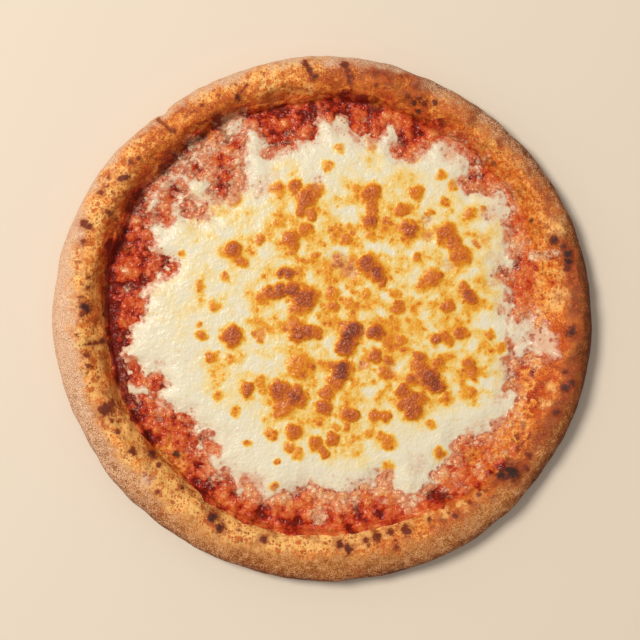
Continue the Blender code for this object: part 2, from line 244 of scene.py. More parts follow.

# Where the sauce is dark, partly stewed and partly painted shade at the rim's foot: across, up, radius and
# strength.
DARK_SAUCE_AND_SHADE = (
    (53, 109, 4, .7), (46, 104, 4, .7), (22, 125, 5, .8), (13, 127, 5, .9), (4, 123, 5, .9), (-6, 121, 4, .5),
    (-21, 119, 5.5, 1), (-14, 116, 4, .6), (-27, 110, 5, .6), (-43, 117, 4, 1), (-49, 116, 3.5, .8),
    (-60, 112, 4.5, .8), (-70, 104, 4, .6), (-77, 99, 4, .7), (-85, 91, 5, .9), (-92, 86, 4, .7),
    (-101, 76, 5, 1), (-107, 72, 5, .9), (-109, 63, 4, .7), (-111, 52, 5, .9), (-121, 42, 5, 1),
    (-124, 33, 5, .9), (-123, 24, 5, .8), (-122, 15, 5, .9), (-120, 6, 5, 1), (-119, 0, 4.5, 1),
    (-121, 10, 6, 1), (-121, -8, 4, .9), (-119, -17, 4, 1.1), (-117, -25, 4.5, 1.1), (-116, -33, 4.5, 1.1),
    (-112, -43, 5, 1.1), (-107, -50, 5, 1.2), (-103, -57, 5, 1), (-101, -66, 3.5, .5), (-87, -87, 3.5, .5),
    (-75, -92, 5, .9), (-75, -87, 4, .6), (-64, -99, 4, .5), (-36, -111, 5, .8), (-41, -114, 4, .6),
    (-25, -118, 4, .5), (-12, -117, 4, .6), (6, -114, 4, .6), (10, -111, 4, .6), (22, -115, 4, .5),
    (35, -107, 5, .8), (33, -114, 4, .7), (42, -109, 4.5, .8), (69, -99, 3.5, .4), (68, -87, 4, .4),
    (71, -102, 3.5, .5), (77, -102, 3, .6), (82, -101, 3, .9), (89, -96, 3, .9), (96, -90, 3, 1),
    (103, -84, 4, 1), (110, -76, 3.5, .9), (120, -66, 3, .7), (122, -32, 4, .8), (117, -27, 4, .7),
    (108, 24, 5, .7), (116, 19, 4, .6), (112, 30, 4, .6), (133, -20, 4, .9), (136, -12, 3.5, .8),
    (132, 20, 3, .6), (123, 30, 3, .6), (68, 100, 4, .6), (87, 81, 4, .8), (92, 83, 4, .5), (81, 103, 4, .4),
    (65, 112, 4, .5), (109, 29, 4, .5),
)

# ------------------------------------------------------------
# The cheese. Its edge, every five degrees round the pizza.
CHEESE_EDGE = (
    110, 109, 108, 113, 121, 118, 127, 127, 119, 126, 128, 127,
    115, 108, 119, 113, 110, 115, 118, 108, 107, 102, 117, 121,
    119, 121, 122, 121, 123, 123, 122, 118, 105, 104, 106, 107,
    109, 113, 117, 118, 119, 117, 112, 99, 99, 101, 106, 111,
    106, 111, 110, 108, 102, 98, 103, 106, 106, 102, 110, 118,
    117, 113, 112, 111, 112, 118, 121, 123, 122, 112, 112, 112,
)

# Lobes of cheese beyond that edge: across and up from the middle, and radius.
CHEESE_LOBES = (
    (111, -9, 10), (118, -7, 10), (127, -9, 8), (121, -15, 9), (129, -17, 7), (114, -18, 7), (106, -19, 7),
    (124, -20, 6), (-50, 110, 5), (-43, 106, 5), (-40, 100, 5),
)
CHEESE_THICKNESS = 2.6
THINNEST_CHEESE = 0.1
VEIL_THICKNESS = 0.55

# How far the top of the cheese sinks below the sauce where the sauce is bare.
CHEESE_SINK = 1.2

# How wide the veil of thin cheese along the edge is, round the pizza, as shares of its widest.
WIDEST_VEIL = 20.0
VEIL_WIDTH = (0.45, 0.65, 0.9, 0.9, 0.7, 0.7, 0.55, 0.8, 0.9, 0.7, 0.4, 0.35)

# How much of the sauce's lumps shows in the cheese near its edge, and the height and length of its own swells.
DRAPE = 0.3
CHEESE_SWELL = 0.45
CHEESE_SWELL_LENGTH = 24.0

# Browned blisters on the cheese: across and up from the middle, radius, and how brown, from 0 to 1.
BLISTERS = (
    (-51, 39, 5, .8), (-46, 33, 3.5, .6), (-36, 45, 3.2, .55), (-18, 45, 5, .7), (-17, 39, 3, .4),
    (-9, 51, 4, .6), (-25, 54, 3, .35), (-16, 76, 4, .7), (-25, 74, 4, .45), (-9, 68, 6, .75),
    (-5, 72, 4, .6), (-12, 62, 4, .65), (-6, 59, 3, .6), (-2, 74, 3, .4), (-4, 36, 2.6, .45),
    (-24, 25.5, 3, .85), (-19, 25, 3, .85), (-30, 14, 4.2, .75), (-24, 15.5, 4.2, .85), (-17, 15.5, 4.5, .85),
    (-9, 11, 7, .85), (-35, 11, 3, .5), (-14, 5, 4, .6), (-70, 18.5, 2.5, .45), (-56, 23, 2.5, .35),
    (-62, 7, 3, .35), (-70, 10, 1.6, .25), (-81, 37, 2, .3), (-51, 69, 4, .6), (28, 102, 2.4, .4),
    (28, 98, 2.4, .4), (9.5, 98, 2.6, .4), (52, 92, 2.5, .45), (69, 82, 2.5, .4), (75, 76, 2.5, .4),
    (54, 72, 4, .5), (28, 72, 5.2, .75), (29, 66, 3.5, .6), (20, 74, 3, .35), (29, 61, 3, .6),
    (28, 55, 4.5, .8), (28, 47, 3, .4), (46, 62, 4, .55), (62, 61, 2.5, .4), (37, 56, 3, .3),
    (72, 67, 2.5, .35), (50, 51, 5, .8), (85, 60, 3.6, .5), (92, 62, 2, .4), (72, 49, 5.5, .7),
    (76, 44, 4.5, .7), (69, 45, 3.5, .6), (80, 35, 5.5, .65), (89, 42, 2, .5), (55, 35, 3.5, .5),
    (64, 23, 5, .65), (58, 19, 3.8, .55), (27, 30, 6, .8), (32, 25, 5, .85), (34, 20, 3, .7),
    (82, 17, 3.5, .6), (85, 12, 4.5, .8), (44, 6, 3.8, .65), (72, 6, 4, .65), (64, 8, 2.5, .35),
    (14, 45, 2.8, .6), (16, 52, 2, .35), (8, 33, 3.5, .3), (5, 14, 4, .5), (7, 7, 3.5, .6), (25, 14, 3, .35),
    (16, 8, 3, .4), (42, 14, 3, .35), (3, 88, 3, .25), (-69, -10, 3, .5), (-72, -4, 1.6, .3),
    (-52, -11, 5.8, .8), (-36, -9, 3.4, .35), (-36, -13, 2, .4), (-14, -9, 5.5, .8), (-8, -8, 4.5, .8),
    (-2, -9, 3.2, .65), (-64, -23, 3.8, .55), (-53, -24, 2, .35), (-12, -28, 7.5, .5), (-43, -42, 4, .75),
    (-36, -37, 3, .4), (-34, -42, 2, .4), (-24, -43, 6, .8), (-15, -46, 6, .85), (-22, -52, 6, .6),
    (-60, -45, 3, .3), (-50, -54, 2.5, .3), (-29, -67, 3, .4), (-16, -66, 4.5, .7), (-19, -75, 3, .5),
    (-14, -79, 3, .35), (-43, -72, 2, .35), (-26, -82.5, 1.6, .5), (-28, -97, 2, .4), (-4, -73, 4, .65),
    (3, -44, 3.8, .65), (1, -52, 4.6, .75), (16, -10, 5.5, .95), (14, -16, 5.5, .9), (19, -7, 4.5, .95),
    (31, -8, 4.8, .85), (12, -31, 6, .95), (8, -37, 5, .65), (30, -22, 4, .75), (38, -25, 3, .7),
    (36, -31, 3, .55), (24, -27, 3, .3), (46, -14, 3.4, .5), (38, -14, 3, .5), (57, -23, 4, .7),
    (53, -27, 3, .6), (67, -26, 3.4, .65), (62, -35, 6, .85), (66, -39, 5, .9), (52, -35, 4, .7),
    (47, -43, 4.6, .75), (52, -48, 5, .75), (53, -53, 5.4, .8), (57, -47, 4, .65), (58, -30, 5, .7),
    (47, -50, 3.5, .7), (71, -12, 4.2, .6), (80, -9, 4, .7), (66, -13, 3.5, .75), (97, -10, 2.8, .45),
    (103, -18, 2.5, .45), (85, -27, 4, .65), (87, -32, 3, .6), (16, -56, 4.6, .75), (14, -63, 2.8, .55),
    (8, -62, 2, .35), (31, -57, 3.4, .6), (35, -57, 3.4, .6), (6, -70, 3.6, .65), (1, -77, 3, .6),
    (27, -66, 3, .35), (38, -71, 4, .5), (33, -69, 3, .35), (62, -61, 2.5, .35), (72, -46, 4, .3),
    (68, -79, 3.4, .6), (38, -86, 3, .25),
)

# How high the darkest blisters are, and the size from which they are that high.
BLISTER_HEIGHT = 1.7
FULL_BLISTER = 5.5

# Places where the sauce shows through the cheese: across and up from the middle, and radius.
SAUCE_HOLES = (
    (-26, 106, 8), (-10, 113, 6), (-52, 99, 6), (-58, 90, 9), (-56, 82, 8), (-58, 75, 6), (-72, 87, 4.5),
    (-86, 72, 5.5), (-78, 65, 3), (-71, 61, 2), (-92, 60, 4), (-107, 56, 4), (-103, 46, 4), (-108, 36, 7),
    (-103, 30, 7), (-92, 31, 3.4), (-112, 22, 7), (-111, 12, 6), (-111, 3, 5), (-109, -28, 2.4),
    (-107, -35, 3), (-97, -36, 3.2), (-103, -53, 7), (-92, -62, 7), (-82, -68, 7), (-70, -70, 2.6),
    (-66, -73, 3), (-72, -80, 4), (-54, -94, 4), (-15, -104, 4), (-6, -102, 3), (34, -95, 3.6), (35, -103, 7),
    (12, -110, 5), (84, -75, 6), (74, -87, 4), (66, -93, 3), (112, -62, 5), (114, -35, 7), (50, 103, 6),
    (88, 80, 3.5), (114, 47, 6), (107, 28, 3.6), (20, 116, 7), (30, 113, 7),
)

# Thin cheese with the sauce glowing through: across, up, radius and how thin, from 0 to 1.
THIN_CHEESE = (
    (-35, 75, 9, .45), (-62, 92, 16, .7), (-50, 74, 8, .5), (-66, 70, 8, .4), (74, 96, 8, .6),
    (118, -5, 10, .3), (112, -14, 8, .35), (55, -85, 9, .3), (-36, -9, 5, .4), (10, 33, 7, .5),
    (16, 27, 6, .55), (60, 56, 6, .4), (72, 30, 6, .4), (-28, 96, 8, .3), (92, 44, 8, .3), (99, 20, 7, .3),
    (99, 35, 7, .3), (-100, 18, 7, .4), (-96, -62, 10, .4), (-40, -96, 10, .5), (20, -98, 10, .45),
    (90, -62, 7, .3), (103, -47, 6, .3), (24, -27, 4, .5), (96, 60, 7, .5), (-48, 105, 9, .3),
    (4, -92, 7, .2), (60, 46, 5, .4), (-3, 78, 6, .4), (24, -8, 4, .4), (40, -30, 5, .35), (-28, 82, 7, .3),
    (128, -11, 15, .62), (118, -30, 8, .6),
)

# Where the cheese is more golden than white: across, up, radius and strength, and how golden it gets at most.
GOLDEN_AREAS = (
    (8, 20, 50, .5), (45, -20, 48, .5), (-8, -42, 38, .42), (35, 50, 45, .42), (-12, 52, 30, .4),
    (75, 15, 32, .42), (-25, 8, 26, .45), (78, 48, 30, .3), (-48, 38, 16, .45), (-50, -30, 26, .28),
    (15, -66, 24, .34), (-20, 82, 12, .2), (-62, 15, 18, .2), (82, -24, 26, .42), (30, 88, 12, .15),
    (88, -38, 14, .9), (-78, 12, 30, .12), (-56, 52, 32, .2),
)
MOST_GOLDEN = 0.55

# ------------------------------------------------------------
# The view: the camera looks straight down on the middle of the photograph's frame.
FRAME_SPAN = 368.0
VIEW_CENTRE = (-1.4, -1.2, 12.0)
CAMERA_HEIGHT = 1000.0
SENSOR_WIDTH = 36.0

# The floor and the light, in metres.
FLOOR_SIZE = 6.0
FLOOR_COLOUR = (0.80, 0.68, 0.54)
LIGHT_COLOUR = (1.0, 0.97, 0.93)
KEY_PLACE = (-1.15, 0.65, 2.30)
KEY_SIZE = 0.9
KEY_POWER = 53.5
SKY_STRENGTH = 0.38


# ------------------------------------------------------------
# Shape functions, all in millimetres.
def around(values, angle):
    """The smooth closed curve through values spaced evenly round the pizza, read at angles."""
    values = np.asarray(values, dtype=float)
    count = len(values)
    place = np.asarray(angle) / (2 * math.pi) % 1 * count
    step = np.floor(place).astype(int)
    t = place - step
    before, here, after, beyond = (values[(step + k) % count] for k in (-1, 0, 1, 2))
    rise = after - before
    bend = 2 * before - 5 * here + 4 * after - beyond
    twist = 3 * (here - after) + beyond - before
    return here + 0.5 * t * (rise + t * (bend + t * twist))


def field(points, length, seed=0):
    """Smooth noise from about -1 to 1 at points in space, whose bumps are about length apart."""
    shift = Vector((0, 0, seed))
    return np.array([noise.noise(Vector(point) / length + shift) for point in points])


def flat_field(x, y, length, seed):
    """Smooth noise from about -1 to 1 on the level, whose bumps are about length apart."""
    return np.array([noise.noise(Vector((a / length, b / length, seed))) for a, b in zip(x, y)])


def lumps(points, length, seed=0):
    """Round lumps about length apart at points in space: 1 on their tops, about -0.5 between them."""
    shift = Vector((0, 0, seed))
    reach = np.array([noise.noise(Vector(p) / length + shift, noise_basis="VORONOI_F1") for p in points])
    return 1 - 1.9 * (0.5 + 0.5 * reach) ** 2


def flat_lumps(x, y, length, seed):
    """Round lumps on the level, pushed a little out of shape."""
    shift_x, shift_y = (0.22 * length * flat_field(x, y, 0.6 * length, seed + k) for k in (1, 2))
    level = np.full(len(x), length * seed)
    return lumps(np.stack([x + shift_x, y + shift_y, level], 1), length)


def smooth(low, high, value):
    """0 below low, 1 above high, and a soft step between them."""
    t = np.clip((value - low) / (high - low), 0, 1)
    return t * t * (3 - 2 * t)


def smooth_max(first, second, width):
    """The larger of two heights, with a soft change from one to the other."""
    share = np.clip(0.5 + 0.5 * (second - first) / width, 0, 1)
    return first + (second - first) * share + width * share * (1 - share)


def dome(away):
    """The height of a soft round bump of height 1, at a share of the way from its middle to its edge."""
    return (1 - np.minimum(away, 1) ** 2) ** 2


def blister(away):
    """The height of a round blister of height 1, with a full top and steep sides."""
    return (1 - np.minimum(away, 1) ** 2.4) ** 1.3


def polar(angle_degrees, radius):
    """The point on the level at an angle and a distance from the middle."""
    angle = math.radians(angle_degrees)
    return radius * math.cos(angle), radius * math.sin(angle)


def turned(radius, angle, height):
    """Points at distances from the middle, angles round it and heights."""
    return np.stack([radius * np.cos(angle), radius * np.sin(angle), height], 1)


def near_line(x, y, start, end):
    """How far points are from the line between two points."""
    line = np.subtract(end, start)
    share = np.clip(((x - start[0]) * line[0] + (y - start[1]) * line[1]) / (line @ line), 0, 1)
    return np.hypot(x - start[0] - share * line[0], y - start[1] - share * line[1])


def spots(x, y, given, ragged=0, outer=1.3, inner=0.3):
    """The strongest of spots given as (across, up, radius, strength), fading from inner to outer radii."""
    found = np.zeros(len(x))
    for spot_x, spot_y, size, strength in given:
        away = np.hypot(x - spot_x, y - spot_y) / size + ragged
        found = np.maximum(found, strength * smooth(outer, inner, away))
    return found


# ------------------------------------------------------------
# Mesh helpers.
def mesh_piece(name, corners, faces, marks, finish):
    """A smooth mesh object from corners, faces, and named marks with one number for each corner."""
    mesh = bpy.data.meshes.new(name)
    mesh.from_pydata((corners * MM).tolist(), [], faces)
    for mark, values in marks.items():
        layer = mesh.attributes.new(mark, "FLOAT", "POINT")
        layer.data.foreach_set("value", np.asarray(values, dtype=np.float32))
    mesh.polygons.foreach_set("use_smooth", [True] * len(mesh.polygons))
    mesh.materials.append(finish)
    piece = bpy.data.objects.new(name, mesh)
    bpy.context.scene.collection.objects.link(piece)
    return piece


def turned_piece(name, points, steps, heights, marks, finish):
    """A closed piece of rings of steps corners, capped at two heights on the axis. Unmarked corners get 0."""
    rings = len(points) // steps
    last = 1 + rings * steps
    faces = []
    for j in range(steps):
        k = (j + 1) % steps
        faces.append((0, 1 + j, 1 + k))
        for low in range(1, last - steps, steps):
            high = low + steps
            faces.append((low + j, high + j, high + k, low + k))
        faces.append((last - steps + k, last - steps + j, last))
    first, final = ([[0, 0, height]] for height in heights)
    corners = np.concatenate([first, points, final])
    marks = {mark: np.pad(values, (1, last - len(values))) for mark, values in marks.items()}
    return mesh_piece(name, corners, faces, marks, finish)


def at_height(points, height):
    """The same points at another height."""
    return np.column_stack([points[:, :2], np.full(len(points), height)])


# ------------------------------------------------------------
# The crust. It starts as an even rim of the mean sizes, which is then bent to the lists round the pizza.
RIM_STEPS = 1000
WALL_RINGS = 48
SHOULDER_RINGS = 30
UNDER_RINGS = 10
INNER_RING = 60.0
RELIEF_START = 100.0
EVEN_WAIST, EVEN_FOOT, EVEN_TOP = (np.mean(sizes) for sizes in (OUTER_EDGE, RIM_FOOT, CREST_HEIGHT))
EVEN_CREST = EVEN_WAIST - np.mean(CREST_INSET)
SCORCH_SPOTS = [(*polar(angle, radius), size, dark) for angle, radius, size, dark in SCORCHES]


def even_profile():
    """The radii and heights of the even rim's rings, from the base's top over the crest to the underside."""
    wall, shoulder, under = (
        np.linspace(0, math.pi / 2, rings + 1) for rings in (WALL_RINGS, SHOULDER_RINGS, UNDER_RINGS)
    )
    wall, under = wall[:-1], under[1:]
    radius = np.concatenate([
        [INNER_RING],
        EVEN_FOOT + (EVEN_CREST - EVEN_FOOT) * (1 - np.cos(wall)),
        EVEN_CREST + (EVEN_WAIST - EVEN_CREST) * np.sin(shoulder),
        EVEN_WAIST - UNDERSIDE_INSET * (1 - np.cos(under)),
    ])
    height = np.concatenate([
        [BASE_THICKNESS],
        BASE_THICKNESS + (EVEN_TOP - BASE_THICKNESS) * np.sin(wall),
        EVEN_TOP + (WAIST_HEIGHT - EVEN_TOP) * (1 - np.cos(shoulder)),
        WAIST_HEIGHT * (1 - np.sin(under)),
    ])
    return radius, height


def rim_swell(points):
    """How far the risen dough bulges or sinks, without its finest relief."""
    swell = BULGE_HEIGHT * field(points, BULGE_LENGTH) + BUMP_HEIGHT * field(points, BUMP_LENGTH)
    for angle, radius, size in RIM_BUBBLES:
        x, y = polar(angle, radius)
        swell += RIM_BUBBLE_HEIGHT * dome(np.hypot(points[:, 0] - x, points[:, 1] - y) / size)
    return swell


def fine_rim_relief(points, flank):
    """Knobs, blebs, pores, folds and scorched bubbles of the baked dough, less of them where it is soaked."""
    x, y = points[:, 0], points[:, 1]
    plain = 1 - 0.35 * smooth(3, 9, around(STAIN_START, np.arctan2(y, x)) - np.hypot(x, y))
    crowd = smooth(-0.2, 0.4, field(points, 15, 8)) * (1 - 0.8 * flank) * plain
    relief = KNOBS[0] * (1 - 0.45 * flank) * plain * field(points, KNOBS[1], 4)
    relief += BLEBS[0] * crowd * np.maximum(lumps(points, BLEBS[1], 6), 0)
    relief += PORES[0] * field(points, PORES[1], 9)
    for height, half_width, line in FOLDS:
        away = np.min([near_line(x, y, start, end) for start, end in zip(line, line[1:])], axis=0)
        relief += height * dome(away / (1.7 * half_width))
    for spot_x, spot_y, size, dark in SCORCH_SPOTS:
        away = np.hypot(x - spot_x, y - spot_y) / (1.25 * size)
        relief += SCORCH_HEIGHT * dark * min(1, size / FULL_SCORCH) * blister(away)
    for start, end, half_width, _ in CRACKS:
        relief -= CRACK_DEPTH * dome(near_line(x, y, polar(*start), polar(*end)) / (1.4 * half_width))
    return relief


def flank_share(points, angle):
    """Where the dough is outer flank, from 0 to 1, with a ragged line between it and the toasted top."""
    ragged = 5 * field(points, 12, 20) + 3.5 * field(points, 4, 21)
    outward = np.hypot(points[:, 0], points[:, 1]) - around(FLANK_START, angle)
    return np.maximum(smooth(-4.5, 5.5, outward + ragged), smooth(13, 9, points[:, 2]) * (outward > -3))


def crust_marks(points, angle, flank):
    """Where the dough is flank, how toasted and scorched it is, with painted light and shade on flank and
    wall, and where sauce and cheese are on it.
    """
    x, y, z = points.T
    radius = np.hypot(x, y)
    toast_and_painted_light = around(TOAST, angle) + 0.5 * field(points, 17, 30) + 0.5 * field(points, 6, 31)
    # More toast beyond the crest: partly real toasting, partly painted shade on the side away from the lamp.
    toast_and_painted_light += around(TOAST_AND_SHADE_BEYOND, angle) * smooth(136, 146, radius)
    # Paler low on the inner wall: partly paler dough, partly painted light where the wall is in shade.
    toast_and_painted_light -= around(PALE_AND_LIT_WALL, angle) * smooth(135, 129, radius)
    ragged = 0.45 * field(points, 3, 40) + 0.45 * field(points, 1.4, 41)
    haloes = SCORCH_HALO * spots(x, y, SCORCH_SPOTS, ragged, 2.6, 1)
    scorch = np.maximum(spots(x, y, SCORCH_SPOTS, ragged, 1.4), haloes)
    for start, end, half_width, dark in CRACKS:
        away = near_line(x, y, polar(*start), polar(*end)) / half_width + ragged
        scorch = np.maximum(scorch, dark * smooth(1.7, 0.2, away))
    soaked = around(STAIN_START, angle) - radius + 5 * field(points, 9, 50) + 2.5 * field(points, 3.5, 51)
    stain = (around(STAIN_DEPTH, angle) + 0.6 * field(points, 16, 53)) * smooth(-9, 7, soaked)
    at_foot = smooth(9, 1, radius - around(RIM_FOOT, angle) + 5 * field(points, 6, 55))
    return {
        "flank": flank,
        "flour_and_light": around(FLOUR_AND_LIGHT, angle),
        "toast_and_painted_light": toast_and_painted_light,
        "scorch": scorch * smooth(8, 14, z),
        "stain": stain + around(STAIN_AT_FOOT, angle) * at_foot,
        "gold": spots(x, y, GOLD_PATCHES, 0.5 * ragged + 0.3 * field(points, 5, 52)),
        "residue_and_glints": spots(x, y, RESIDUE_AND_GLINTS, ragged),
        # The wall's warmth is partly a painted warm tint for its shade.
        "warm_and_shade_tint": around(WALL_WARMTH_AND_SHADE_TINT, angle) * smooth(141, 131, radius + 3 * field(points, 7, 54)),
    }


def crust_corners():
    """Corners of the crust without its fine relief, ring by ring, and their angles."""
    radius, z = even_profile()
    angle = np.tile(np.arange(RIM_STEPS) * 2 * math.pi / RIM_STEPS, len(radius))
    radius, z = np.repeat(radius, RIM_STEPS), np.repeat(z, RIM_STEPS)
    outer, foot = around(OUTER_EDGE, angle), around(RIM_FOOT, angle)
    crest = outer - around(CREST_INSET, angle)
    inside = radius < EVEN_CREST
    on_wall = foot + (crest - foot) * (radius - EVEN_FOOT) / (EVEN_CREST - EVEN_FOOT)
    on_flank = crest + (outer - crest) * (radius - EVEN_CREST) / (EVEN_WAIST - EVEN_CREST)
    moved = np.where(radius < EVEN_FOOT, radius * foot / EVEN_FOOT, np.where(inside, on_wall, on_flank))
    low = np.where(inside, BASE_THICKNESS, WAIST_HEIGHT)
    share = np.clip((z - low) / (EVEN_TOP - low), 0, 1)
    share = np.where(inside, share ** (2 * around(WALL_LEAN, angle)), share)
    z = np.where(z > low, low + share * (around(CREST_HEIGHT, angle) - low), z)
    points = turned(moved, angle, z)
    swell = np.clip((z - BASE_THICKNESS) / (WAIST_HEIGHT - BASE_THICKNESS), 0, 1) * rim_swell(points)
    moved += BULGE_OUTWARD * swell
    up_wall = (radius - EVEN_FOOT) / (EVEN_CREST - EVEN_FOOT)
    swelling = smooth(0, 0.08, up_wall) * smooth(1, 0.4, up_wall)
    for height, length in WALL_SWELLS:
        moved += height * swelling * field(points, length, 12)
    return turned(moved, angle, z + swell), angle


def push_out(points, amount):
    """Moves the points of the crust along its own normals."""
    grid = points.reshape(-1, RIM_STEPS, 3)
    along = np.roll(grid, -1, axis=1) - np.roll(grid, 1, axis=1)
    normal = np.cross(np.gradient(grid, axis=0), along)
    normal /= np.maximum(np.linalg.norm(normal, axis=2, keepdims=True), TINY)
    return (grid + normal * amount.reshape(-1, RIM_STEPS, 1)).reshape(-1, 3)


def make_crust(finish):
    points, angle = crust_corners()
    flank = flank_share(points, angle)
    lifted = smooth(0, 3, points[:, 2]) * (np.hypot(points[:, 0], points[:, 1]) > RELIEF_START)
    points = push_out(points, lifted * fine_rim_relief(points, flank))
    points[:, 2] = np.maximum(points[:, 2], 0)
    marks = crust_marks(points, angle, flank)
    return turned_piece("baked_crust", points, RIM_STEPS, (BASE_THICKNESS, 0), marks, finish)


# ------------------------------------------------------------
# What lies on the crust, whose height is found by rays from high above.
HIGH_ABOVE = 100.0


def surface_finder(piece):
    """A function that gives how high a piece's top is over points on the level."""
    tree = BVHTree.FromObject(piece, bpy.context.evaluated_depsgraph_get())
    down = Vector((0, 0, -1))

    def height(x, y):
        found = (tree.ray_cast(Vector((a * MM, b * MM, HIGH_ABOVE * MM)), down)[0] for a, b in zip(x, y))
        return np.array([hit.z / MM if hit else 0 for hit in found])

    return height


def cheese_inset(x, y):
    """How far points are inside the edge of the cheese, below 0 where the sauce is bare: calm and ragged."""
    inset = around(CHEESE_EDGE, np.arctan2(y, x)) - np.hypot(x, y)
    for lobe_x, lobe_y, size in CHEESE_LOBES:
        inset = np.maximum(inset, size - np.hypot(x - lobe_x, y - lobe_y))
    for hole_x, hole_y, size in SAUCE_HOLES:
        inset = np.minimum(inset, np.hypot(x - hole_x, y - hole_y) - size)
    calm = inset + 4.2 * flat_field(x, y, 9, 60)
    return calm, calm + 3.6 * flat_field(x, y, 4.2, 61) + 2 * flat_field(x, y, 2, 62)


def pulp(x, y):
    """The height of the sauce's lumps of pulp, about a level of 0."""
    sizes = ((PULP_LUMPS, 80), (PULP_BITS, 83), (PULP_GRAINS, 86))
    return sum(height * (flat_lumps(x, y, length, seed) - 0.3) for (height, length), seed in sizes)


def sauce_relief(x, y, inset):
    """How far the sauce's lumps stand above its level, which is smooth deep under the cheese."""
    relief = SAUCE_SWELLS[0] * flat_field(x, y, SAUCE_SWELLS[1], 3.5) + pulp(x, y)
    angle = np.arctan2(y, x)
    dried = around(DRYNESS, angle) * smooth(-9, 0, np.hypot(x, y) - around(RIM_FOOT, angle))
    return smooth(13, 3, inset) * (1 - 0.7 * dried) * np.maximum(relief, LOWEST_DIP)


def cheese_depth(x, y, calm, ragged):
    """How far the cheese's top is above the sauce's level: a thin veil at its edge, thicker further in."""
    swell = CHEESE_SWELL * flat_field(x, y, CHEESE_SWELL_LENGTH, 7.5) + 0.2 * flat_field(x, y, 7, 63)
    thick = VEIL_THICKNESS + (CHEESE_THICKNESS + swell - VEIL_THICKNESS) * smooth(0, 14, calm)
    for thin_x, thin_y, size, share in THIN_CHEESE:
        away = np.hypot(x - thin_x, y - thin_y) / size
        thick -= 0.45 * share * thick * smooth(1.2, 0.3, away)
    return (thick + CHEESE_SINK) * smooth(-3, 2.5, ragged) - CHEESE_SINK


def cheese_roast(x, y):
    """How roasted the cheese is, from white at 0 over golden to dark brown at 1, and its blisters' height."""
    warp_x, warp_y = x + 2.2 * flat_field(x, y, 6, 70), y + 2.2 * flat_field(x, y, 6, 71)
    grain = 0.14 * flat_field(x, y, 2.8, 72) + 0.06 * flat_field(x, y, 1.3, 73)
    patchy = 0.8 + 1.2 * flat_field(x, y, 11, 74) + 0.8 * flat_field(x, y, 5, 75)
    golden = 0.88 * spots(x, y, GOLDEN_AREAS, 0, 1.15, 0.45) * np.clip(patchy, 0, 1.6)
    skirts, cores, rise = np.zeros((3, len(x)))
    for spot_x, spot_y, size, dark in BLISTERS:
        near = np.flatnonzero(np.hypot(x - spot_x, y - spot_y) < 3 * size + 4)
        across, up = warp_x[near] - spot_x, warp_y[near] - spot_y
        away = np.hypot(across, up) / size
        skirt = min(0.64, 0.34 + 0.42 * dark)
        soft = smooth(1.9, 0.7, away + 1.3 * grain[near])
        skirts[near] = np.maximum(skirts[near], skirt * soft)
        # The brown core is set towards the upper left, the side facing the lamp, so the orange skirt shows
        # more on the far side: painted light and shade on the blister's dome.
        away_from_lit_core = np.hypot(across + 0.14 * size, up - 0.14 * size) / size
        core = (0.34 + 0.65 * dark - skirt) * smooth(1.3, 0.4, away_from_lit_core + 1.4 * grain[near])
        cores[near] = np.maximum(cores[near], core)
        full = min(1, (size / FULL_BLISTER) ** 1.5)
        rise[near] = np.maximum(rise[near], full * dark * blister(away / 1.25))
    roast = np.maximum(np.minimum(golden, MOST_GOLDEN), skirts) + cores
    return roast, BLISTER_HEIGHT * rise * (1 + grain)


SAUCE_STEPS = 900
SAUCE_RINGS = 104
SAUCE_INNER = 78.0
SAUCE_MARGIN = 4.0
SAUCE_UNDERSIDE = BASE_THICKNESS + LAYER_GAP
SAUCE_LEVEL = SAUCE_UNDERSIDE + SAUCE_THICKNESS


def sauce_top(x, y, over, climb, calm, crust_height):
    """How high the sauce's top is: level and lumpy inside the rim, and a film on the rim's slope."""
    level = SAUCE_LEVEL + sauce_relief(x, y, calm)
    thinning = np.maximum(1 - over / climb, -1.5)
    uneven_film = 0.8 * flat_field(x, y, 8, 82) + 0.35 * flat_field(x, y, 3, 83)
    film = SAUCE_FILM * thinning + uneven_film * smooth(1.1, 0.4, thinning)
    dough = crust_height(x, y)
    further_out = np.concatenate([dough[SAUCE_STEPS:], dough[-SAUCE_STEPS:]])
    dough += np.maximum(further_out - dough, 0) * smooth(0.1, 0.7, thinning)
    on_dough = dough + np.minimum(film, THICKEST_FILM)
    on_dough += 0.35 * np.clip(thinning, 0, 1) * (level - SAUCE_LEVEL)
    return np.maximum(smooth_max(level, on_dough, FILLET), SAUCE_UNDERSIDE + THINNEST_LAYER)


def sauce_marks(x, y, angle, over, inset):
    """How bright the sauce is, with painted shade at the rim's foot, how high its pulp, and where it is milky,
    with some painted glints, baked dry and scorched.
    """
    uneven = 5 * flat_field(x, y, 9, 89)
    dark = spots(x, y, DARK_SAUCE_AND_SHADE, 0.06 * uneven)
    # Darker in the valley at the rim's foot and in dark spots: partly stewed sauce, partly painted shade.
    stewed_and_shade = 1.3 * around(VALLEY, angle) * smooth(-5, -1.5, over + 0.6 * uneven) * smooth(3, 0, over)
    stewed_and_shade += 0.65 * dark
    stewed_and_shade += 0.5 * around(RED_BAND, angle) * smooth(-15, -6, over + 1.6 * uneven) * smooth(8, 1, over)
    ragged = 0.4 * flat_field(x, y, 3, 87) + 0.3 * flat_field(x, y, 1.5, 88)
    shade = 0.9 * flat_field(x, y, 12, 84) + 0.6 * flat_field(x, y, 5.5, 85)
    on_slope = around(DRYNESS, angle) * smooth(-5, 4, over + 0.6 * uneven)
    milky = around(MILKINESS, angle) * smooth(-10, 0, inset)
    return {
        "bright": around(SAUCE_BRIGHTNESS, angle) + shade - np.minimum(stewed_and_shade, 0.85),
        "crown": pulp(x, y),
        "residue_and_glints": np.maximum(spots(x, y, RESIDUE_AND_GLINTS, ragged), milky),
        "dry": (1 - np.clip(dark, 0, 1)) * np.maximum(on_slope, spots(x, y, DRY_PATCHES, ragged)),
        "scorch": spots(x, y, SCORCH_SPOTS, ragged),
    }


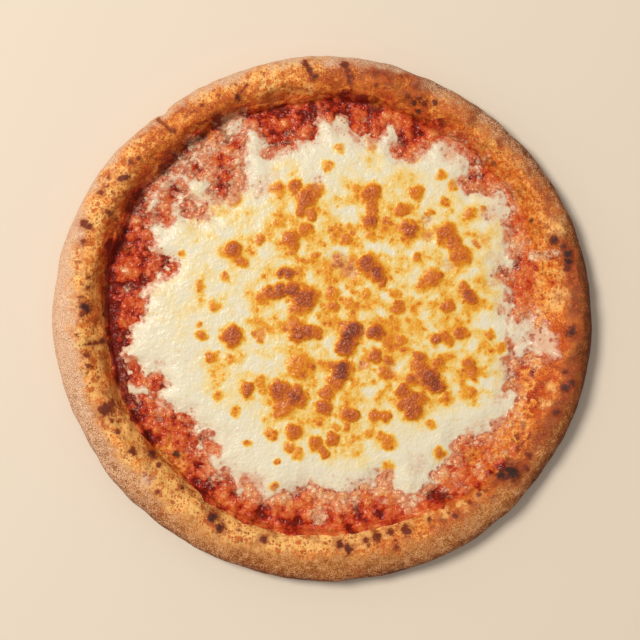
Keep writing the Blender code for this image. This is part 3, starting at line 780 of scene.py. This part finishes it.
def make_sauce(finish, crust_height):
    angle = np.arange(SAUCE_STEPS) * 2 * math.pi / SAUCE_STEPS
    reach = around(RIM_FOOT, angle) + around(SAUCE_CLIMB, angle) + SAUCE_MARGIN
    shares = np.linspace(0, 1, SAUCE_RINGS)[:, None]
    radius = (SAUCE_INNER + (reach - SAUCE_INNER) * shares).ravel()
    angle = np.tile(angle, SAUCE_RINGS)
    x, y = radius * np.cos(angle), radius * np.sin(angle)
    over = radius - around(RIM_FOOT, angle)
    calm, inset = cheese_inset(x, y)
    top = np.stack([x, y, sauce_top(x, y, over, around(SAUCE_CLIMB, angle), calm, crust_height)], 1)
    points = np.concatenate([top, at_height(top[-SAUCE_STEPS:], SAUCE_UNDERSIDE)])
    heights = (SAUCE_LEVEL, SAUCE_UNDERSIDE)
    marks = sauce_marks(x, y, angle, over, inset)
    return turned_piece("tomato_sauce_layer", points, SAUCE_STEPS, heights, marks, finish)


CHEESE_GRID = 312
CHEESE_REACH = 144.0
CHEESE_MARGIN = 8.0
LOBE_ANGLE = math.radians(-4)
LOBE_SPREAD = math.radians(16)
CHEESE_UNDERSIDE = 5.0


def disc_grid(count):
    """A square grid bent into a disc: its shares of the way out, and its angles."""
    side = np.linspace(-1, 1, count + 1)
    across, up = (part.ravel() for part in np.meshgrid(side, side))
    wide = np.abs(across) >= np.abs(up)
    share = np.maximum(np.abs(across), np.abs(up))
    main, other = np.where(wide, across, up), np.where(wide, up, across)
    turn = np.where(main == 0, 0, math.pi / 4 * other / np.where(main == 0, 1, main))
    return share, np.where(wide, turn, math.pi / 2 - turn) + np.where(main < 0, math.pi, 0)


def sheet_faces(count):
    """Faces of a square grid, of a wall down from its rim and of a flat underside, and the rim's corners."""
    row = count + 1
    last = count * row
    squares = [start + k for start in range(0, last, row) for k in range(count)]
    faces = [(k, k + 1, k + 1 + row, k + row) for k in squares]
    rim = [*range(count), *range(count, last + count, row)]
    rim += [*range(last + count, last, -1), *range(last, 0, -row)]
    below = range(row * row, row * row + len(rim))
    for k in range(len(rim)):
        after = (k + 1) % len(rim)
        faces.append((rim[after], rim[k], below[k], below[after]))
    faces.append(tuple(reversed(below)))
    return faces, rim


def cheese_reach(angle):
    """How far out the cheese's grid goes: a margin past its edge, and further at its lobes on the right."""
    reach = around(CHEESE_EDGE, angle) + CHEESE_MARGIN
    turn = np.arccos(np.clip(np.cos(angle - LOBE_ANGLE), -1, 1))
    return reach + np.maximum(CHEESE_REACH - reach, 0) * smooth(LOBE_SPREAD, 0.6 * LOBE_SPREAD, turn)


def make_cheese(finish, crust_height):
    """A fine square grid bent into a disc, whose top sinks into the sauce where there is no cheese."""
    share, angle = disc_grid(CHEESE_GRID)
    radius = share * cheese_reach(angle)
    x, y = radius * np.cos(angle), radius * np.sin(angle)
    calm, inset = cheese_inset(x, y)
    roast, rise = cheese_roast(x, y)
    ground = smooth_max(np.full(len(x), SAUCE_LEVEL), crust_height(x, y) + LAYER_GAP, FILLET)
    bumps = (0.08 + 0.12 * smooth(0.1, 0.5, roast)) * flat_lumps(x, y, 3.4, 90)
    bumps += 0.14 * flat_field(x, y, 2.4, 91)
    depth = cheese_depth(x, y, calm, inset)
    relief = sauce_relief(x, y, calm)
    drape = DRAPE * smooth(13, 2, calm) * relief
    z = ground + depth + smooth(0, 0.8, depth) * (rise + bumps + drape)
    ragged = 0.25 * flat_field(x, y, 6, 64) + 0.2 * flat_field(x, y, 2.5, 65)
    marks = {
        "roast": roast,
        "thin": np.maximum(smooth(1.3, 0, z - ground - relief), spots(x, y, THIN_CHEESE, ragged)),
        "inset": np.clip(calm / (WIDEST_VEIL * around(VEIL_WIDTH, angle)), 0, 1),
        "under": pulp(x, y),
    }
    top = np.stack([x, y, np.maximum(z, CHEESE_UNDERSIDE + THINNEST_CHEESE)], 1)
    faces, rim = sheet_faces(CHEESE_GRID)
    corners = np.concatenate([top, at_height(top[rim], CHEESE_UNDERSIDE)])
    marks = {mark: np.concatenate([values, values[rim]]) for mark, values in marks.items()}
    return mesh_piece("melted_mozzarella", corners, faces, marks, finish)


# ------------------------------------------------------------
# Finishes.
def seen(red, green, blue):
    """A colour as it is seen on a screen, from 0 to 255, turned into the light that a surface sends back."""
    shares = (value / 255 for value in (red, green, blue))
    return tuple(share / 12.92 if share < 0.04045 else ((share + 0.055) / 1.055) ** 2.4 for share in shares)


class Signal:
    """A number or colour that varies over a surface: the output of a node of a finish."""

    def __init__(self, look, socket):
        self.look = look
        self.socket = socket

    def __add__(self, other):
        return self.look.math("ADD", self, other)

    def __mul__(self, other):
        return self.look.math("MULTIPLY", self, other)

    def most(self, other):
        return self.look.math("MAXIMUM", self, other)

    def output(self, name):
        """Another output of the same node."""
        return Signal(self.look, self.socket.node.outputs[name])

    def centred(self, amount):
        """A noise from 0 to 1 turned into one from minus half the amount to plus half of it."""
        return self.look.math("SUBTRACT", self, 0.5) * amount

    def step(self, low, high, to_low=0, to_high=1):
        """A soft step of the number from low to high."""
        inputs = {"Value": self, "From Min": low, "From Max": high, "To Min": to_low, "To Max": to_high}
        return self.look.node("MapRange", inputs, "Result", interpolation_type="SMOOTHSTEP")

    def ramp(self, *stops):
        """A colour ramp through (place, red, green, blue) stops, whose colours are as seen on a screen."""
        colour = self.look.node("ValToRGB", {"Fac": self}, "Color")
        elements = colour.socket.node.color_ramp.elements
        while len(elements) < len(stops):
            elements.new(0.5)
        for element, (place, *shade) in zip(elements, stops):
            element.position = place
            element.color = (*seen(*shade), 1)
        return colour


class Finish:
    """A material whose nodes are put together by short calls, which lay colours and bumps over each other."""

    def __init__(self, name):
        self.material = bpy.data.materials.new(name)
        self.material.use_nodes = True
        self.shader = self.material.node_tree.nodes["Principled BSDF"]
        self.place = self.node("TexCoord", {}, "Object")
        self.colour = None
        self.relief = {}

    def feed(self, node, inputs):
        """Links a node's inputs to signals, or sets them to numbers or colours."""
        for name, value in inputs.items():
            socket = node.inputs[name]
            if isinstance(value, Signal):
                self.material.node_tree.links.new(value.socket, socket)
            else:
                socket.default_value = (*value, 1) if socket.type == "RGBA" else value

    def node(self, kind, inputs, output, **settings):
        """One output of a new node, with its settings and its inputs by their names or numbers."""
        made = self.material.node_tree.nodes.new("ShaderNode" + kind)
        for name, value in settings.items():
            setattr(made, name, value)
        self.feed(made, inputs)
        return Signal(self, made.outputs[output])

    def math(self, operation, first, second):
        return self.node("Math", {0: first, 1: second}, 0, operation=operation)

    def mark(self, name):
        """One of the numbers that the mesh carries."""
        return self.node("Attribute", {}, "Fac", attribute_name=name)

    def height(self):
        """How high a point is above the surface that the pizza lies on, in metres."""
        return self.node("SeparateXYZ", {0: self.place}, "Z")

    def noise(self, length, detail=2, roughness=0.5, distortion=0):
        """Noise from 0 to 1, whose lumps are about length apart."""
        inputs = {"Vector": self.place, "Scale": 1 / (length * MM), "Detail": detail}
        return self.node("TexNoise", {**inputs, "Roughness": roughness, "Distortion": distortion}, "Fac")

    def dots(self, length, largest, share, soft=0.14):
        """Uneven dots of random sizes up to largest, in lengths between them, at a share of the places."""
        push = {0: self.noise(0.45 * length).output("Color"), 1: (0.9 * length * MM,) * 3, 2: self.place}
        crinkled = self.node("VectorMath", push, 0, operation="MULTIPLY_ADD")
        away = self.node("TexVoronoi", {"Vector": crinkled, "Scale": 1 / (length * MM)}, "Distance")
        chance = self.node("SeparateColor", {"Color": away.output("Color")}, "Red")
        return self.math("SUBTRACT", away, chance.step(1 - share, 1, 0, largest)).step(soft, -soft)

    def mix(self, share, first, second):
        """A mix of two colours, which are inputs 6 and 7 and output 2 of the node."""
        return self.node("Mix", {0: share, 6: first, 7: second}, 2, data_type="RGBA")

    def cover(self, share, colour):
        """Lays another colour over those that are there."""
        self.colour = self.mix(share, self.colour, colour)

    def bump(self, height, distance, strength):
        """Lays fine relief over the one that is there."""
        inputs = {"Height": height, "Distance": distance * MM, "Strength": strength, **self.relief}
        self.relief = {"Normal": self.node("Bump", inputs, "Normal")}

    def finish(self, roughness, constants):
        """The material, with its colours and relief, its roughness, and other values of its shader."""
        given = {"Base Color": self.colour, "Roughness": roughness}
        self.feed(self.shader, {**given, **self.relief, **constants})
        return self.material


def crust_finish():
    look = Finish("baked_crust")
    flank, flour_and_light, toast_and_painted_light, scorch = map(look.mark, ("flank", "flour_and_light", "toast_and_painted_light", "scorch"))
    stain, gold, residue_and_glints, warmth_and_shade_tint = map(look.mark, ("stain", "gold", "residue_and_glints", "warm_and_shade_tint"))
    grain, blotch = look.noise(0.9, 3, 0.65), look.noise(3.6, 3, 0.6)
    # The toasted top, with painted shade beyond the crest, and the more orange inner wall, with a painted warm
    # tint where it is in shade.
    tone = toast_and_painted_light * 0.6 + blotch.centred(1.2) + 0.1 + grain.centred(1.2)
    look.colour = tone.ramp(
        (0, 253, 200, 120), (0.22, 246, 168, 82), (0.42, 232, 136, 56),
        (0.65, 194, 98, 38), (0.9, 138, 58, 24),
    )
    look.cover(warmth_and_shade_tint, tone.ramp(
        (0, 250, 184, 100), (0.22, 242, 152, 66), (0.42, 226, 118, 42),
        (0.65, 190, 80, 26), (0.9, 134, 46, 16),
    ))
    # The flank, brown under its flour, and browner low down. The flour is partly painted light and shade.
    high = look.height().step(9 * MM, 22 * MM, 0, 0.85)
    fine, cloud = look.noise(0.62, 1), look.noise(9, 3, 0.6)
    uneven = fine.centred(1.8) + (blotch.centred(1.2) + cloud.centred(0.8))
    bare = uneven + high + look.math("MINIMUM", flour_and_light, 0)
    brown = bare.ramp((0, 96, 42, 14), (0.5, 156, 86, 38), (1, 212, 142, 74))
    floury_and_lit = (fine.centred(1.8) + 0.5).ramp((0.1, 193, 135, 93), (0.8, 246, 208, 173))
    look.cover(flank, look.mix((uneven + flour_and_light).step(-0.1, 1.1), brown, floury_and_lit))
    # Sauce that soaked into the slope, deeper and darker towards its foot, with golden and milky places, some
    # of the milky ones painted glints.
    soaked = stain + grain.centred(0.5) * stain.step(0, 0.3)
    look.cover(soaked.step(0, 0.5), (soaked + (blotch.centred(1.1) + grain.centred(0.9))).ramp(
        (0.1, 238, 150, 62), (0.38, 222, 112, 36), (0.62, 200, 78, 26), (0.85, 164, 50, 16), (1, 128, 32, 10)
    ))
    gilded = (gold + blotch.centred(0.6)).step(0.1, 0.8)
    look.cover(gilded, grain.ramp((0.3, 242, 156, 72), (0.7, 254, 210, 132)))
    milky = (residue_and_glints + grain.centred(0.9)).step(0.15, 0.8)
    look.cover(milky, blotch.ramp((0.3, 214, 146, 108), (0.6, 232, 196, 160)))
    # Freckles and scorches.
    freckles = look.dots(3, 0.5, 0.7).most(look.dots(1.8, 0.5, 0.75))
    freckles = freckles.most(look.dots(5.5, 0.42, 0.6)).most(look.dots(1.3, 0.5, 0.6))
    freckles = freckles * flank.step(0.9, 0.1, 0.12, 1) * look.noise(9).step(0.32, 0.5, 0.45, 1)
    freckled = freckles * gilded.step(0.2, 0.9, 0.9, 0.7)
    look.cover(freckled, blotch.ramp((0.3, 150, 54, 20), (0.55, 202, 94, 36)))
    look.cover((scorch + grain.centred(0.3)).step(0, 0.6), (scorch + grain.centred(0.7)).ramp(
        (0.1, 190, 88, 34), (0.4, 148, 62, 26), (0.8, 110, 50, 32), (1, 62, 36, 28)
    ))
    look.bump(look.noise(0.8, 3, 0.7), 0.4, 0.8)
    look.bump(look.noise(2.2, 3, 0.6), 0.9, 0.8)
    look.bump(freckles, 0.3, 0.6)
    return look.finish((flank + grain.centred(0.5)).step(0, 1, 0.45, 0.8), {"Specular IOR Level": 0.2})


def sauce_finish():
    look = Finish("wet_tomato_sauce")
    bright, crown, residue_and_glints, dry, scorch = map(look.mark, ("bright", "crown", "residue_and_glints", "dry", "scorch"))
    grain, blotch = look.noise(1, 3, 0.6), look.noise(3.2)
    # Wet sauce, lighter on its lumps' tops and darker between them, partly the pulp's colour and partly
    # painted light and shade, and where it has baked dry.
    look.colour = (crown * 0.24 + (bright * 0.5 + grain.centred(0.9)) + blotch.centred(0.9)).ramp(
        (0, 116, 24, 8), (0.16, 175, 43, 18), (0.38, 204, 80, 36), (0.62, 218, 110, 52), (0.9, 236, 156, 90)
    )
    baked = blotch.centred(1.6) + (grain.centred(1.3) + dry * 0.6)
    look.cover((dry + blotch.centred(0.5)).step(0.1, 0.8, 0, 0.9), baked.ramp(
        (0, 184, 70, 22), (0.3, 212, 104, 32), (0.6, 232, 142, 56), (0.9, 244, 184, 96)
    ))
    # Milk and crumbs of the cheese, some of the milk painted glints, freckles and scorches.
    milky = (residue_and_glints + look.noise(2.4, 3, 0.6).centred(1.3)).step(0.25, 1)
    look.cover(milky * 0.7, grain.ramp((0.3, 212, 134, 88), (0.7, 236, 196, 150)))
    crumbs = look.dots(3.4, 0.5, 0.5, 0.2).most(look.dots(1.9, 0.5, 0.55, 0.2))
    crumbs = crumbs * (residue_and_glints + blotch.centred(0.6)).step(0.2, 0.7)
    look.cover(crumbs * 0.75, seen(238, 212, 172))
    freckles = look.dots(3, 0.5, 0.6).most(look.dots(1.8, 0.5, 0.7)) * dry
    look.cover(freckles * 0.7, seen(150, 58, 22))
    look.cover((scorch + grain.centred(0.3)).step(0.1, 0.8), seen(92, 40, 22))
    look.bump(look.noise(0.9, 1), 0.12, 0.8)
    look.bump(look.noise(2.2, 1, distortion=0.6), 1, 1)
    dull = dry * 0.3 + bright.step(0.2, -0.4, 0, 0.12)
    return look.finish(blotch.step(0.3, 0.7, 0.08, 0.2) + dull, {"Specular IOR Level": 0.2})


def cheese_finish():
    look = Finish("melted_mozzarella")
    roast, thin, inset, under = map(look.mark, ("roast", "thin", "inset", "under"))
    grain, blotch, patchy = look.noise(0.9, 3, 0.65), look.noise(2.6), look.noise(7, 3, 0.55)
    # From white over golden to brown.
    tone = roast + (blotch.centred(0.2) + grain.centred(0.36)) * roast.step(0, 0.4, 0.6, 1)
    tone = tone + (patchy.centred(0.12) + look.noise(1.4, 1).centred(0.14))
    flecks = look.dots(3.2, 0.55, 0.6, 0.34).most(look.dots(1.8, 0.5, 0.6, 0.3) * 0.6)
    flecks = flecks * (roast.step(0.05, 0.3) * roast.step(0.75, 0.5, 0, 0.27))
    look.colour = (tone + flecks).ramp(
        (0, 233, 223, 195), (0.16, 238, 217, 162), (0.32, 240, 199, 104), (0.5, 234, 162, 40),
        (0.64, 222, 130, 24), (0.77, 206, 106, 34), (0.9, 164, 74, 34), (1, 110, 48, 26),
    )
    # The veil at its edge, with the sauce showing through.
    veil = (inset + (patchy.centred(0.9) + blotch.centred(0.4))).step(0.7, 0.05)
    look.cover(veil * 0.65, seen(226, 200, 168))
    shown = under * 0.3 + veil * 0.8 + blotch.centred(1)
    look.cover(shown.step(0.55, 1.15, 0, 0.8), seen(206, 110, 66))
    beads = look.dots(3.6, 0.5, 0.45).most(look.dots(1.7, 0.48, 0.5))
    look.cover(beads * veil * 0.75, seen(196, 96, 54))
    # Thin places, specks of sauce, and small yellow dots.
    mottled = thin + (blotch.centred(0.6) + grain.centred(0.6)) * thin.step(0, 0.3)
    look.cover(mottled.step(0.1, 0.8, 0, 0.75), seen(218, 150, 112))
    look.cover(mottled.step(0.7, 1.2, 0, 0.9), seen(190, 76, 32))
    specks = look.dots(2.6, 0.5, 0.7).most(look.dots(4.6, 0.45, 0.65))
    specks = specks * (thin + patchy.centred(0.8)).step(0.15, 0.6)
    look.cover(specks * 0.85, seen(174, 82, 50))
    yellow = look.dots(2.2, 0.5, 0.45, 0.2) * patchy.step(0.46, 0.6, 0, 0.3)
    look.cover(yellow * roast.step(0.3, 0.1), seen(232, 178, 78))
    look.bump(look.noise(1.8, 1), 0.35, 0.8)
    look.bump(look.noise(1.8, 1, distortion=0.6) * roast.step(0.45, 0.85), 0.8, 1)
    look.bump(look.noise(3.2), 0.5, 0.5)
    look.bump(look.noise(1.3, 0), 0.16, 0.8)
    return look.finish(blotch.step(0.3, 0.7, 0.24, 0.44), {
        "Specular IOR Level": 0.28,
        "Subsurface Weight": 0.12,
        "Subsurface Radius": (1, 0.6, 0.3),
        "Subsurface Scale": 1 * MM,
    })


# ------------------------------------------------------------
# The studio, whose sizes and places are in metres.
def make_floor():
    bpy.ops.mesh.primitive_plane_add(size=FLOOR_SIZE)
    floor = bpy.context.object
    floor.name = "floor"
    look = Finish("pale_floor")
    look.feed(look.shader, {"Roughness": 0.7, "Base Color": FLOOR_COLOUR})
    floor.data.materials.append(look.material)


def make_lights():
    lamp = bpy.data.lights.new("key", "AREA")
    lamp.shape = "DISK"
    lamp.size = KEY_SIZE
    lamp.energy = KEY_POWER
    lamp.color = LIGHT_COLOUR
    light = bpy.data.objects.new("key", lamp)
    light.location = KEY_PLACE
    light.rotation_euler = (-Vector(KEY_PLACE)).to_track_quat("-Z", "Y").to_euler()
    bpy.context.scene.collection.objects.link(light)
    world = bpy.data.worlds.new("studio")
    world.use_nodes = True
    background = world.node_tree.nodes["Background"]
    background.inputs["Color"].default_value = (*LIGHT_COLOUR, 1)
    background.inputs["Strength"].default_value = SKY_STRENGTH
    bpy.context.scene.world = world


def make_camera():
    lens = bpy.data.cameras.new("camera")
    lens.sensor_width = SENSOR_WIDTH
    lens.lens = SENSOR_WIDTH * CAMERA_HEIGHT / FRAME_SPAN
    camera = bpy.data.objects.new("camera", lens)
    across, up, height = VIEW_CENTRE
    camera.location = (across * MM, up * MM, (height + CAMERA_HEIGHT) * MM)
    bpy.context.scene.collection.objects.link(camera)
    bpy.context.scene.camera = camera


def main():
    crust = make_crust(crust_finish())
    crust_height = surface_finder(crust)
    sauce = make_sauce(sauce_finish(), crust_height)
    cheese = make_cheese(cheese_finish(), crust_height)
    for piece, node in ((crust, "crust"), (sauce, "tomato_sauce"), (cheese, "mozzarella")):
        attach(piece, "root")
        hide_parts(node)
    make_floor()
    make_lights()
    make_camera()
    bpy.context.scene.view_settings.view_transform = "Standard"
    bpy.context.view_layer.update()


main()
